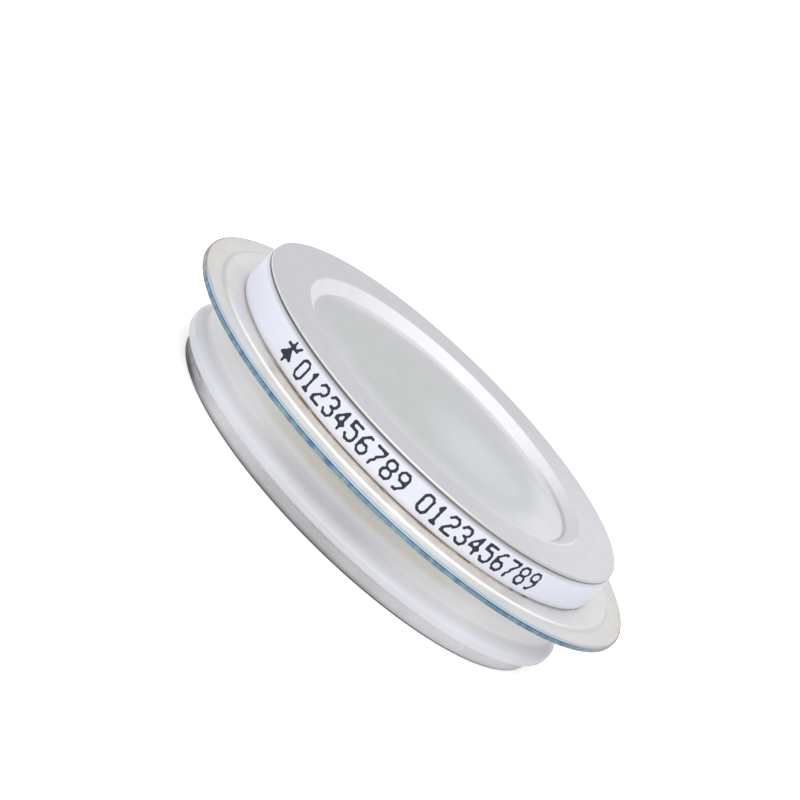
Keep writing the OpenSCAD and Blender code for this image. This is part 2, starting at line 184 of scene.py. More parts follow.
class GateSettings(bpy.types.PropertyGroup):
    tube_radius: length("Tube radius", "Outer radius of the gate tube", TUBE_HIGH.x)
    height: length("Height", "Height of the tube's axis", (TUBE_LOW.z + TUBE_HIGH.z) / 2)
    tube_end: length("Tube end", "Where the tube ends along Y", TUBE_HIGH.y)
    pin_end: length("Pin end", "Where the pin ends along Y", PIN_HIGH.y)
    pin_radius: length("Pin radius", "Radius of the terminal pin", 0.75 * MM)
    fillet: length("Fillet", "Size of the braze fillet round the tube", 0.45 * MM)


class PrintSettings(bpy.types.PropertyGroup):
    digits: StringProperty(name="Digits", description="Plain digits of both groups", default="0123456789")
    first: angle("First group", "Angle of the first group's first digit", -32.6)
    second: angle("Second group", "Angle of the second group's first digit", 11.5)
    step: angle("Step", "Angle between digits", 4.05)
    symbol: angle("Symbol", "Angle of the circuit symbol from the front", -39)
    column: length("Column pitch", "Distance between columns of a digit", 0.41 * MM)
    row: length("Row pitch", "Distance between rows of a digit", 0.51 * MM)
    dot: length("Dot radius", "Radius of an ink dot", 0.25 * MM)
    depth: length("Ink depth", "How far the ink stands on the ceramic", 0.012 * MM)
    seed: whole("Seed", "Seed of the dots' size and place", 3)
    color: colour("Colour", "Dry ink", (0.024, 0.025, 0.046))


class StageSettings(bpy.types.PropertyGroup):
    azimuth: angle("Azimuth", "Direction that the camera looks from", 0.0)
    elevation: angle("Elevation", "Height angle of the camera", 14.45286)
    roll: angle("Roll", "Turn of the camera about its view", 44.62081)
    distance: length("Distance", "Camera to the aim point", 700.0 * MM)
    aim: FloatVectorProperty(
        name="Aim", description="Point in the middle of the picture", default=(-0.006225, 0.00374, 0.014927),
        size=3, subtype="XYZ", unit="LENGTH",
    )
    lens: FloatProperty(name="Lens", description="Focal length in millimetres on a 36 mm sensor", default=199.46)
    floor_color: colour("Floor colour", "White floor", (0.86, 0.86, 0.86))
    floor_glow: share("Floor glow", "Glow that makes the floor white for the camera", 0.52)
    floor_mirrored: share("Floor in mirrors", "Glow of the floor where metal or glass shows it", 0.30)
    sky: share("Sky", "Strength of the even light", 0.9, 4.0)
    lamp: FloatProperty(name="Lamp", description="Power of the softbox", default=0.9, unit="POWER")


GROUPS = {
    "capsule_lid": LidSettings,
    "capsule_ceramic": CeramicSettings,
    "capsule_flange": FlangeSettings,
    "capsule_base": BaseSettings,
    "capsule_braze": BrazeSettings,
    "capsule_gate": GateSettings,
    "capsule_print": PrintSettings,
    "capsule_stage": StageSettings,
}


# Node helpers

def add(tree, kind, inputs=None, **props):
    """Adds a node, sets its properties, and sets or links its inputs."""
    made = tree.nodes.new(kind)
    for key, value in props.items():
        setattr(made, key, value)
    for key, value in (inputs or {}).items():
        put(tree, made.inputs[key], value)
    return made


def first(tree, kind, inputs=None, **props):
    """Adds a node and gives its first output."""
    return add(tree, kind, inputs, **props).outputs[0]


def put(tree, socket, value):
    """Links a socket to another one, or sets its value."""
    if isinstance(value, bpy.types.NodeSocket):
        tree.links.new(value, socket)
    else:
        socket.default_value = value


def calc(tree, operation, a, b=0.0):
    return first(tree, "ShaderNodeMath", {0: a, 1: b}, operation=operation)


def times(tree, *factors):
    """The product of several values."""
    product = factors[0]
    for factor in factors[1:]:
        product = calc(tree, "MULTIPLY", product, factor)
    return product


def join(tree, x=0.0, y=0.0, z=0.0):
    """A vector from its parts."""
    return first(tree, "ShaderNodeCombineXYZ", {0: x, 1: y, 2: z})


def split(tree, vector):
    """The parts of a vector."""
    return add(tree, "ShaderNodeSeparateXYZ", {0: vector}).outputs


def move(tree, operation, a, b):
    """Adds, multiplies or crosses two vectors, or scales one."""
    key = "Scale" if operation == "SCALE" else 1
    return first(tree, "ShaderNodeVectorMath", {0: a, key: b}, operation=operation)


def size_of(tree, vector):
    return add(tree, "ShaderNodeVectorMath", {0: vector}, operation="LENGTH").outputs["Value"]


def span(tree, value, low, high, to_low=0.0, to_high=1.0, smooth=True):
    """Maps a value from one range to another, clamped."""
    kind = "SMOOTHSTEP" if smooth else "LINEAR"
    made = add(
        tree, "ShaderNodeMapRange",
        {"Value": value, "From Min": low, "From Max": high, "To Min": to_low, "To Max": to_high},
        interpolation_type=kind,
    )
    return made.outputs["Result"]


def band(tree, value, start, full, fade, end):
    """1 between full and fade, falling to 0 at start and at end."""
    return times(tree, span(tree, value, start, full), span(tree, value, end, fade))


def rgba(color):
    return (color[0], color[1], color[2], 1.0)


def blend(tree, fac, a, b, mode="MIX"):
    """Mixes two colours."""
    made = add(tree, "ShaderNodeMix", data_type="RGBA", blend_type=mode)
    put(tree, made.inputs[0], fac)
    for index, value in ((6, a), (7, b)):
        put(tree, made.inputs[index], value if isinstance(value, bpy.types.NodeSocket) else rgba(value))
    return made.outputs[2]


def ramp(tree, fac, stops):
    """Colour ramp from (place, colour) pairs."""
    made = add(tree, "ShaderNodeValToRGB", {"Fac": fac})
    parts = made.color_ramp.elements
    while len(parts) < len(stops):
        parts.new(0.5)
    for part, (place, color) in zip(parts, stops):
        part.position = place
        part.color = rgba(color)
    return made.outputs["Color"]


def noise(tree, vector, scale, detail=2.0, rough=0.5):
    given = {"Vector": vector, "Scale": scale, "Detail": detail, "Roughness": rough}
    return add(tree, "ShaderNodeTexNoise", given).outputs["Fac"]


def empty_tree(owner):
    """The node tree of a material or world, with nothing in it."""
    owner.use_nodes = True
    owner.node_tree.nodes.clear()
    return owner.node_tree


class Surface:
    """A material under construction, with the point in millimetres and in polar form."""

    def __init__(self, name, metallic=0.0, roughness=0.4, **sockets):
        self.material = bpy.data.materials.new(name)
        self.tree = empty_tree(self.material)
        self.shader = add(self.tree, "ShaderNodeBsdfPrincipled", {"Metallic": metallic, "Roughness": roughness})
        for key, value in sockets.items():
            self.shader.inputs[key.replace("_", " ")].default_value = value
        out = add(self.tree, "ShaderNodeOutputMaterial")
        self.tree.links.new(self.shader.outputs[0], out.inputs["Surface"])
        place = add(self.tree, "ShaderNodeTexCoord").outputs["Object"]
        self.point = move(self.tree, "SCALE", place, 1 / MM)
        x, y, self.z = split(self.tree, self.point)
        self.radius = size_of(self.tree, join(self.tree, x, y))
        self.side = calc(self.tree, "DIVIDE", x, self.radius)
        self.front = calc(self.tree, "DIVIDE", times(self.tree, y, -1.0), self.radius)

    def line_noise(self, value, scale, detail=2.0):
        """Noise that changes along one value only, as turning marks do."""
        return noise(self.tree, join(self.tree, value), scale, detail)

    def turn_noise(self, scale, detail=2.0):
        """Noise that changes along the circumference only."""
        return noise(self.tree, join(self.tree, self.side, self.front), scale, detail)

    def vary(self, color, fac, amount):
        """Lightens and darkens a colour by a noise value."""
        low, high = 1.0 - amount, 1.0 + amount
        grey = ramp(self.tree, fac, [(0.3, (low, low, low)), (0.7, (high, high, high))])
        return blend(self.tree, 1.0, color, grey, "MULTIPLY")

    def shade(self, color, tones):
        """Paints light and shade into a colour by (side, tone) pairs, from the left at -1 to the right at 1."""
        place = span(self.tree, self.side, -1.0, 1.0, smooth=False)
        grey = ramp(self.tree, place, [((side + 1) / 2, (tone, tone, tone)) for side, tone in tones])
        return blend(self.tree, 1.0, color, grey, "MULTIPLY")

    def rough(self, fac, low, high):
        """Roughness between two values by a noise value."""
        return span(self.tree, fac, 0.3, 0.7, low, high)

    def tint(self, color, over, *masks):
        """Lays a colour over another one where all the masks are high."""
        return blend(self.tree, times(self.tree, *masks), color, over)

    def finish(self, color, roughness=None, height=None, strength=0.2, distance=0.01):
        put(self.tree, self.shader.inputs["Base Color"], color)
        if roughness is not None:
            put(self.tree, self.shader.inputs["Roughness"], roughness)
        if height is not None:
            given = {"Height": height, "Strength": strength, "Distance": distance * MM}
            put(self.tree, self.shader.inputs["Normal"], first(self.tree, "ShaderNodeBump", given))
        return self.material


def surface(name, **given):
    """A new material and its node tree."""
    made = Surface(name, **given)
    return made, made.tree


# Finishes: radii and heights are in millimetres, sides run from -1 at the left, fronts from -1 at the back

# Painted light and shade by side, as (side, tone) pairs: the room's light and reflections on each piece
RIM_PAINTED_LIGHT = ((-1.0, 1.0), (0.3, 0.98), (0.9, 1.12), (1.0, 1.12))
BASE_PAINTED_LIGHT = (
    (-1.0, 0.5), (-0.94, 0.7), (-0.8, 1.05), (-0.64, 1.2), (-0.34, 0.92), (0.0, 0.87), (0.34, 1.06),
    (0.64, 1.22), (0.87, 1.25), (0.94, 1.2), (1.0, 1.0),
)
GLAZE_PAINTED_LIGHT = (
    (-1.0, 0.92), (-0.87, 1.04), (-0.64, 1.16), (-0.34, 1.06), (0.0, 1.0), (0.34, 1.1), (0.64, 1.22),
    (0.87, 1.12), (0.94, 0.96), (0.98, 0.74), (1.0, 0.6),
)


def lid_nickel(s):
    """Satin nickel: bluish rim painted lighter to the right, greyer contact face with a painted pale reflection,
    painted highlights and shade along the recess and the rim's edge, fine pressing grain.
    """
    m, t = surface("lid_nickel", metallic=1.0)
    cloud = noise(t, m.point, 0.09, 3.0)
    grain = noise(t, m.point, 5.0, 4.0, 0.65)
    rings = m.line_noise(m.radius, 1.6, 3.0)
    # One broad painted reflection right of the middle, pale and bluish, with a soft uneven edge
    off = move(t, "ADD", m.point, (-9.0, 1.0, 0.0))
    off = move(t, "MULTIPLY", off, (0.075, 0.065, 0.0))
    reach = calc(t, "ADD", size_of(t, off), times(t, calc(t, "SUBTRACT", cloud, 0.5), 0.8))
    floor = m.tint(s.floor_color, s.painted_reflection_color, span(t, reach, 1.0, 0.2), 0.9)
    # Painted light: the contact face is paler round its border, except at the back left
    lit_border = times(t, span(t, m.radius, 16.0, 25.0), span(t, calc(t, "ADD", m.side, m.front), -1.2, 0.6))
    floor = m.tint(floor, (0.70, 0.715, 0.73), lit_border)
    # Painted highlight on the contact face near the recess wall, at the front and at the right
    near_wall_highlight = calc(t, "MAXIMUM",
                     times(t, span(t, m.radius, 22.5, 26.0), span(t, m.front, -0.1, -0.8)),
                     times(t, span(t, m.radius, 19.0, 24.0), span(t, m.side, 0.75, 0.98)))
    floor = m.tint(floor, (0.80, 0.80, 0.81), near_wall_highlight)
    color = m.tint(floor, m.shade(s.rim_color, RIM_PAINTED_LIGHT), span(t, m.radius, 27.5, 28.8))
    wall = band(t, m.radius, 26.45, 26.8, 28.5, 28.9)
    # Painted shade at the foot of the right-hand wall
    wall_shade = times(t, span(t, m.side, 0.45, 0.85), span(t, m.radius, 27.35, 26.85))
    color = m.tint(color, m.tint(s.wall_color, tuple(0.74 * c for c in s.wall_color), wall_shade), wall)
    # Painted highlight along the rounded mouth at the front right
    lip_highlight = band(t, m.radius, 28.5, 28.7, 28.9, 29.1)
    lip_highlight = times(t, lip_highlight, span(t, m.side, 0.2, 0.6), span(t, m.front, -0.1, 0.25))
    color = m.tint(color, (0.95, 0.95, 0.95), lip_highlight)
    color = m.vary(color, noise(t, m.point, 0.35, 4.0), 0.025)
    color = m.vary(color, grain, 0.03)
    # The rim's upper edge is painted with a highlight, most at the front and left, above a side painted darker as
    # shade
    rim = times(t, span(t, m.radius, 36.45, 36.62), span(t, m.z, 19.3, 19.4))
    highlit = times(t, span(t, m.z, 19.7, 19.8), span(t, m.side, 0.75, 0.1, 0.35, 1.0))
    shaded = m.tint((0.42, 0.41, 0.395), (0.56, 0.545, 0.525), span(t, m.side, 0.0, 0.5))
    color = m.tint(color, m.tint(shaded, s.edge_highlight_color, highlit), rim)
    rough = m.rough(grain, 0.34, 0.46)
    height = calc(t, "ADD", grain, times(t, rings, 0.5))
    return m.finish(color, rough, height, 0.25, 0.012)


def flange_nickel(s):
    """Matt nickel with a tan seat, a pale land, painted light at the front, painted shade and a painted highlight
    on the step, and heat tint along the welded rim.
    """
    m, t = surface("flange_nickel", metallic=1.0)
    cloud = noise(t, m.point, 0.18, 4.0)
    grain = noise(t, m.point, 4.0, 4.0, 0.6)
    # Painted light: seat and land are painted warmer and lighter at the front than at their two ends
    ends = span(t, calc(t, "ABSOLUTE", m.side), 0.35, 0.85)
    seat = m.tint(s.seat_color, (0.77, 0.765, 0.76), ends)
    land = m.tint(s.land_color, (0.735, 0.735, 0.715), ends)
    color = m.tint(seat, land, span(t, m.radius, 40.2, 41.2))
    # Painted shade on the outer slope of the step, then a painted highlight along its ridge at the front
    step_shade = band(t, m.radius, 40.5, 40.9, 41.2, 41.5)
    color = m.tint(color, m.tint((0.80, 0.80, 0.78), (0.68, 0.68, 0.665), ends), step_shade)
    ridge = band(t, m.radius, 40.3, 40.5, 40.75, 41.0)
    color = m.tint(color, s.step_highlight_color, ridge, span(t, m.front, 0.3, 0.8))
    speck = span(t, noise(t, m.point, 1.1, 1.0), 0.79, 0.82)
    color = m.tint(color, (0.22, 0.20, 0.18), speck, 0.6)
    color = m.vary(color, cloud, 0.035)
    color = m.vary(color, grain, 0.03)
    # Heat tint: straw first, then blue bands along the two sheet edges, whose paler bands and bright patches are
    # painted highlights on the sheets' rounded edges
    rim = span(t, m.radius, 44.12, 44.36)
    wander = m.turn_noise(3.2, 3.0)
    front = calc(t, "ADD", m.front, times(t, calc(t, "SUBTRACT", wander, 0.5), 0.7))
    back = times(t, span(t, m.front, -0.1, -0.5), span(t, wander, 0.48, 0.6))
    blue = calc(t, "MAXIMUM", times(t, span(t, front, 0.15, 0.52), span(t, m.side, -0.98, -0.9)), back)
    haze = m.tint((0.74, 0.69, 0.64), (0.70, 0.74, 0.80), blue)
    warm = m.tint(color, haze, span(t, m.radius, 42.4, 43.7), 0.7)
    warm = m.tint(warm, (0.44, 0.48, 0.54), span(t, m.radius, 43.7, 43.95), blue, 0.8)
    place = span(t, m.z, 12.25, 13.25, smooth=False)
    bands = ramp(t, place, [
        (0.0, (0.42, 0.46, 0.46)), (0.10, (0.34, 0.40, 0.42)), (0.22, (0.20, 0.27, 0.30)),
        (0.40, (0.24, 0.34, 0.38)), (0.62, (0.24, 0.38, 0.43)), (0.72, s.blue_color), (0.82, s.blue_color),
        (0.90, (0.46, 0.62, 0.70)), (1.0, (0.54, 0.64, 0.71)),
    ])
    patches = ramp(t, m.turn_noise(30.0, 5.0), [
        (0.34, (0.42, 0.58, 0.92)), (0.48, (0.85, 0.9, 1.0)), (0.56, (1.05, 1.05, 1.02)),
        (0.68, (1.12, 1.22, 1.12)),
    ])
    bands = m.tint(bands, blend(t, 1.0, bands, patches, "MULTIPLY"), span(t, place, 0.9, 0.82))
    plain = m.vary(s.straw_color, m.turn_noise(9.0, 3.0), 0.2)
    edge = m.tint(plain, bands, blue)
    color = m.tint(warm, edge, rim)
    rough = m.rough(grain, 0.46, 0.6)
    return m.finish(color, rough, grain, 0.2, 0.012)


def base_nickel(s):
    """Turned nickel plate with fine grooves, dark scuffs along part of the rim, and painted light and shade:
    darker low down and at the left end, a dark line along the lower edge.
    """
    m, t = surface("base_nickel", metallic=1.0)
    along = calc(t, "ADD", m.z, m.radius)
    grooves = m.line_noise(along, 9.0, 3.0)
    grain = noise(t, m.point, 3.0, 4.0, 0.6)
    # Painted shade towards the lower edge, less on the right, then painted light and shade by side
    color = m.tint(s.color, s.foot_shade_color, span(t, m.z, 0.95, 0.4), span(t, m.side, 0.6, 0.2, 0.25, 1.0))
    color = m.shade(color, BASE_PAINTED_LIGHT)
    color = m.vary(color, grooves, 0.06)
    color = m.vary(color, noise(t, m.point, 0.25, 4.0), 0.05)
    drag = join(t, times(t, m.side, 4.0), times(t, m.front, 4.0), times(t, m.z, 1.6))
    scratch = noise(t, drag, 2.2, 5.0, 0.7)
    # Real scuffs where the noise says, and a painted dark reflection over the left end of the rim, both scratched
    left = span(t, m.side, -0.68, -0.92)
    wear_and_shade = calc(t, "MAXIMUM", left, span(t, m.turn_noise(2.1, 2.0), 0.56, 0.66))
    rim = span(t, m.radius, 35.8, 36.9)
    scuff_and_shade = times(t, wear_and_shade, rim, span(t, scratch, 0.35, 0.6))
    color = m.tint(color, s.scuff_and_shade_color, scuff_and_shade, 0.8)
    # Painted dark reflection low on the rim's left end
    painted_dark_reflection = times(t, span(t, m.side, -0.8, -0.9), rim, span(t, m.z, 1.5, 0.5))
    color = m.tint(color, (0.05, 0.05, 0.055), painted_dark_reflection, 0.85)
    # Painted shade: a dark line along the rim's lower edge
    line = times(t, span(t, m.z, 0.34, 0.2), span(t, m.radius, 36.5, 36.8))
    color = m.tint(color, (0.045, 0.045, 0.05), line, span(t, grooves, 0.2, 0.6, 0.6, 1.0))
    rough = m.rough(grain, 0.26, 0.4)
    height = calc(t, "ADD", grooves, times(t, grain, 0.3))
    return m.finish(color, rough, height, 0.3, 0.015)


def ceramic(name, roughness, coat, seed, paint):
    """White alumina with a fine grain, faint clouds and a few dark specks over the colours from paint."""
    m, t = surface(name, roughness=roughness, Coat_Weight=coat, Coat_Roughness=0.12)
    shifted = move(t, "ADD", m.point, (seed, seed * 1.7, 0.0))
    cloud = noise(t, shifted, 0.12, 4.0)
    grain = noise(t, shifted, 6.0, 4.0, 0.7)
    speck = span(t, noise(t, shifted, 1.5, 1.0), 0.80, 0.83)
    body = m.vary(paint(m), cloud, 0.02)
    body = m.vary(body, grain, 0.012)
    body = m.tint(body, (0.30, 0.26, 0.22), speck, 0.5)
    rough = m.rough(grain, roughness - 0.05, roughness + 0.06)
    return m.finish(body, rough, grain, 0.12, 0.01)


def white_ceramic(s):
    """Matt upper ring, with painted shade along its foot and a painted shadow under the lid's rim."""
    def paint(m):
        t = m.tree
        # Painted shade along the foot, where the ring meets the flange
        body = m.tint(s.upper_color, s.foot_shade_color, span(t, m.z, 14.9, 13.9), 0.7)
        # Painted shadow under the lid's rim, strongest at the front
        grey = times(t, span(t, m.z, 18.7, 19.3, smooth=False), span(t, m.front, 0.2, 0.9, 0.3, 0.9))
        return m.tint(body, (0.30, 0.305, 0.325), grey)
    return ceramic("white_ceramic", 0.55, 0.0, 11.0, paint)


def glazed_ceramic(s):
    """Glazed lower ring: painted light on the rib's shoulder, painted shade on the neck and in the hollow, a tan
    stain with painted shade under the flange, soft streaks painted as reflections, painted light and shade by
    side.
    """
    def paint(m):
        t = m.tree
        wave = times(t, calc(t, "SUBTRACT", m.turn_noise(2.0, 3.0), 0.5), 1.4)
        level = calc(t, "ADD", m.z, times(t, wave, span(t, m.z, 5.5, 8.0)))
        # Painted light and shade by height: pale shoulder, greyer neck
        body = ramp(t, span(t, m.z, 3.5, 6.0, smooth=False), [
            (0.16, s.lower_color), (0.34, s.shoulder_light_color), (0.86, s.neck_shade_color),
        ])
        # Tan stain under the flange, partly painted shade and the flange's painted reflection
        shaded = ramp(t, span(t, level, 7.5, 10.5, smooth=False), [
            (0.0, s.neck_shade_color), (0.43, s.stain_and_shade_color), (0.62, s.stain_and_shade_color),
            (0.9, tuple(0.88 * c for c in s.stain_and_shade_color)),
        ])
        ends = calc(t, "ABSOLUTE", m.side)
        body = m.tint(body, shaded, span(t, level, 7.2, 7.8), span(t, ends, 0.85, 0.4, 0.35, 1.0))
        # Painted shade in the hollow above the rib, at the front
        middle = span(t, calc(t, "ABSOLUTE", calc(t, "ADD", m.side, 0.12)), 0.5, 0.15)
        hollow = band(t, level, 4.7, 6.0, 6.2, 7.8)
        body = m.tint(body, s.hollow_shade_color, hollow, middle)
        # Soft streaks painted as reflections in the glaze, then painted light and shade by side
        return m.shade(m.vary(body, m.line_noise(level, 0.9, 3.0), 0.035), GLAZE_PAINTED_LIGHT)
    return ceramic("glazed_ceramic", 0.35, 0.35, 47.0, paint)


def braze_metal(s):
    """Tarnished braze, brown where it ran thin and bright where it pooled, with painted shade in the creases at
    the front and under the lid.
    """
    m, t = surface("braze", metallic=1.0)
    pools = m.turn_noise(14.0, 4.0)
    fine = noise(t, m.point, 3.0, 3.0)
    # Darkest mid-front: tarnish with painted shade in the crease under the upper ring's foot
    middle = times(t, span(t, m.front, 0.72, 0.9), span(t, m.side, 0.5, 0.3))
    dashes = times(t, span(t, pools, 0.51, 0.57), span(t, m.side, 0.1, 0.4))
    tarnish_and_shade = calc(t, "MAXIMUM", times(t, middle, span(t, pools, 0.72, 0.58)), dashes)
    color = m.tint(s.bright_color, s.color, tarnish_and_shade)
    # The lid seam: a dark joint with painted shade under the lid's rim, lighter to the right
    seam = m.tint((0.27, 0.255, 0.235), (0.40, 0.37, 0.335), span(t, m.side, 0.0, 0.5))
    color = m.tint(color, seam, span(t, m.z, 18.0, 19.0))
    color = m.vary(color, fine, 0.15)
    return m.finish(color, m.rough(fine, 0.35, 0.55), fine, 0.4, 0.02)


def dry_ink(s):
    m, t = surface("marking_ink", roughness=0.75)
    patch = noise(t, m.point, 2.4, 3.0)
    color = m.vary(s.color, patch, 0.4)
    return m.finish(color, m.rough(patch, 0.65, 0.85), patch, 0.3, 0.01)


def inner_metal(name, color, roughness):
    """Turned or lapped metal of the parts inside the capsule."""
    m, t = surface(name, metallic=1.0, roughness=roughness)
    grain = noise(t, m.point, 2.5, 4.0, 0.6)
    rings = m.line_noise(m.radius, 4.0, 2.0)
    body = m.vary(m.vary(color, grain, 0.06), rings, 0.05)
    return m.finish(body, m.rough(grain, roughness - 0.06, roughness + 0.08), rings, 0.2, 0.01)


def inner_solid(name, color, roughness):
    """Plastic, rubber or silicon of the parts inside the capsule."""
    m, t = surface(name, roughness=roughness)
    cloud = noise(t, m.point, 0.3, 3.0)
    grain = noise(t, m.point, 4.0, 3.0)
    body = m.vary(color, cloud, 0.04)
    return m.finish(body, m.rough(grain, roughness - 0.05, roughness + 0.05), grain, 0.15, 0.01)


# Finishes of the outer pieces with their settings, and the colour and roughness of the inner ones
OUTER = {
    "lid_nickel": (lid_nickel, "capsule_lid"),
    "flange_nickel": (flange_nickel, "capsule_flange"),
    "base_nickel": (base_nickel, "capsule_base"),
    "white_ceramic": (white_ceramic, "capsule_ceramic"),
    "glazed_ceramic": (glazed_ceramic, "capsule_ceramic"),
    "braze": (braze_metal, "capsule_braze"),
    "marking_ink": (dry_ink, "capsule_print"),
}
INNER = {
    "silver": (inner_metal, (0.82, 0.81, 0.79), 0.3),
    "molybdenum": (inner_metal, (0.36, 0.37, 0.40), 0.34),
    "copper": (inner_metal, (0.72, 0.33, 0.20), 0.3),
    "spring_steel": (inner_metal, (0.34, 0.35, 0.37), 0.25),
    "silicon": (inner_solid, (0.075, 0.08, 0.11), 0.15),
    "silicone": (inner_solid, (0.80, 0.78, 0.74), 0.6),
    "natural_plastic": (inner_solid, (0.84, 0.83, 0.80), 0.45),
}


def finish_for(slot):
    """The material of a slot, made on first use."""
    for made in bpy.data.materials:
        if made.get("finish_of") == slot:
            return made
    if slot in OUTER:
        make, group = OUTER[slot]
        made = make(getattr(bpy.context.scene, group))
    else:
        make, color, roughness = INNER[slot]
        made = make(slot, color, roughness)
    made["finish_of"] = slot
    return made


# Sections of turned pieces, as (radius, height) points that run counterclockwise

def arc(r, z, size, start, end, steps=8):
    """Points of an arc round (r, z), with angles in degrees."""
    turns = [math.radians(start + (end - start) * k / steps) for k in range(steps + 1)]
    return [(r + size * math.cos(a), z + size * math.sin(a)) for a in turns]


def outer_edge(r, low, high, edge, steps=6):
    """The outside of a ring with rounded edges, from its lower to its upper face."""
    return arc(r - edge, low + edge, edge, -90, 0, steps) + arc(r - edge, high - edge, edge, 0, 90, steps)


def pressed_step(r0, z0, r1, z1, offset, bend=None, steps=12):
    """One face of a pressed step, offset from the sheet's middle, which runs from (r0, z0) to (r1, z1).
    A small bend leaves a straight wall between the two arcs, and with none given they meet."""
    along, rise = math.copysign(1, r1 - r0), math.copysign(1, z1 - z0)
    dr, dz = abs(r1 - r0), abs(z1 - z0)
    bend = bend or (dr * dr + dz * dz) / (4 * dz)
    turn = math.atan2(dz - 2 * bend, dr) + math.asin(min(1.0, 2 * bend / math.hypot(dr, dz - 2 * bend)))
    points = []
    for k in range(2 * steps + 2):
        late = k > steps
        a = turn * (2 * steps + 1 - k if late else k) / steps
        run, climb = bend * math.sin(a), bend * (1 - math.cos(a))
        r, z = (r1 - along * run, z1 - rise * climb) if late else (r0 + along * run, z0 + rise * climb)
        points.append((r - offset * along * rise * math.sin(a), z + offset * math.cos(a)))
    return points


def held(points, closed):
    """Adds points close to the ends of long straight runs, so that smooth shading stays flat there."""
    near, out = 0.05 * MM, []
    count = len(points)
    for k, (r, z) in enumerate(points):
        out.append((r, z))
        if k == count - 1 and not closed:
            break
        r1, z1 = points[(k + 1) % count]
        run = math.hypot(r1 - r, z1 - z)
        if run > 0.3 * MM:
            for part in (near / run, 1 - near / run):
                out.append((r + (r1 - r) * part, z + (z1 - z) * part))
    tidy = [p for k, p in enumerate(out) if k == 0 or math.dist(p, out[k - 1]) > 1e-7]
    if closed and math.dist(tidy[0], tidy[-1]) < 1e-7:
        tidy.pop()
    return tidy


# Geometry Nodes trees

def new_tree(name, inputs):
    """A tree with a geometry input and output, named inputs, and its group nodes."""
    tree = bpy.data.node_groups.new(name, "GeometryNodeTree")
    tree.interface.new_socket(name="Geometry", in_out="INPUT", socket_type="NodeSocketGeometry")
    for label, kind in inputs:
        tree.interface.new_socket(name=label, in_out="INPUT", socket_type="NodeSocket" + kind)
    tree.interface.new_socket(name="Geometry", in_out="OUTPUT", socket_type="NodeSocketGeometry")
    return tree, add(tree, "NodeGroupInput").outputs


def close_tree(tree, geometry, material):
    """Ends a tree in Realize Instances and Set Material."""
    real = first(tree, "GeometryNodeRealizeInstances", {"Geometry": geometry})
    done = first(tree, "GeometryNodeSetMaterial", {"Geometry": real, "Material": material})
    out = add(tree, "NodeGroupOutput")
    tree.links.new(done, out.inputs["Geometry"])
    return tree


def integer(tree, operation, a, b):
    return first(tree, "FunctionNodeIntegerMath", {0: a, 1: b}, operation=operation)


def draw(tree, seed, low, high):
    """A random number between two numbers, or a random vector between two vectors."""
    many = isinstance(low, tuple)
    ends = {0: low, 1: high} if many else {2: low, 3: high}
    kind = "FLOAT_VECTOR" if many else "FLOAT"
    return add(tree, "FunctionNodeRandomValue", {**ends, "Seed": seed}, data_type=kind).outputs[0 if many else 1]


def instances(tree, points, shape, turn, size):
    given = {"Points": points, "Instance": shape, "Rotation": turn, "Scale": size}
    return first(tree, "GeometryNodeInstanceOnPoints", given)


def turned_ring_tree():
    """Turns a section of points (r, 0, z) about Z. Points with give above 0 wander in and out."""
    if "Turned ring" in bpy.data.node_groups:
        return bpy.data.node_groups["Turned ring"]
    tree, given = new_tree("Turned ring", [
        ("Segments", "Int"), ("Rows", "Int"), ("Wobble", "Float"), ("Wobble scale", "Float"),
        ("Seed", "Float"), ("Material", "Material"),
    ])
    section = given["Geometry"]
    points = first(tree, "GeometryNodeAttributeDomainSize", {"Geometry": section}, component="MESH")
    columns = integer(tree, "ADD", given["Segments"], 1)
    grid = first(tree, "GeometryNodeMeshGrid", {"Vertices X": columns, "Vertices Y": given["Rows"]})
    index = first(tree, "GeometryNodeInputIndex")
    column = integer(tree, "DIVIDE_FLOOR", index, given["Rows"])
    row = integer(tree, "MODULO", integer(tree, "MODULO", index, given["Rows"]), points)
    give = first(tree, "GeometryNodeInputNamedAttribute", {"Name": "give"}, data_type="FLOAT")
    place = first(tree, "GeometryNodeInputPosition")
    spot, slack = (
        first(
            tree, "GeometryNodeSampleIndex", {"Geometry": section, "Value": value, "Index": row},
            data_type=kind, domain="POINT",
        )
        for value, kind in ((place, "FLOAT_VECTOR"), (give, "FLOAT"))
    )
    parts = split(tree, spot)
    ring = integer(tree, "MODULO", column, given["Segments"])
    angle = times(tree, calc(tree, "DIVIDE", ring, given["Segments"]), 2 * math.pi)
    cosine, sine = calc(tree, "COSINE", angle), calc(tree, "SINE", angle)
    around = join(tree, cosine, sine, given["Seed"])
    swing = calc(tree, "SUBTRACT", noise(tree, around, given["Wobble scale"], 4.0, 0.6), 0.45)
    reach = times(tree, swing, given["Wobble"], slack, 4.0)
    radius = calc(tree, "ADD", parts[0], reach)
    spun = join(tree, times(tree, radius, cosine), times(tree, radius, sine), parts[2])
    moved = first(tree, "GeometryNodeSetPosition", {"Geometry": grid, "Position": spun})
    whole = first(tree, "GeometryNodeMergeByDistance", {"Geometry": moved, "Distance": 1e-7})
    return close_tree(tree, whole, given["Material"])


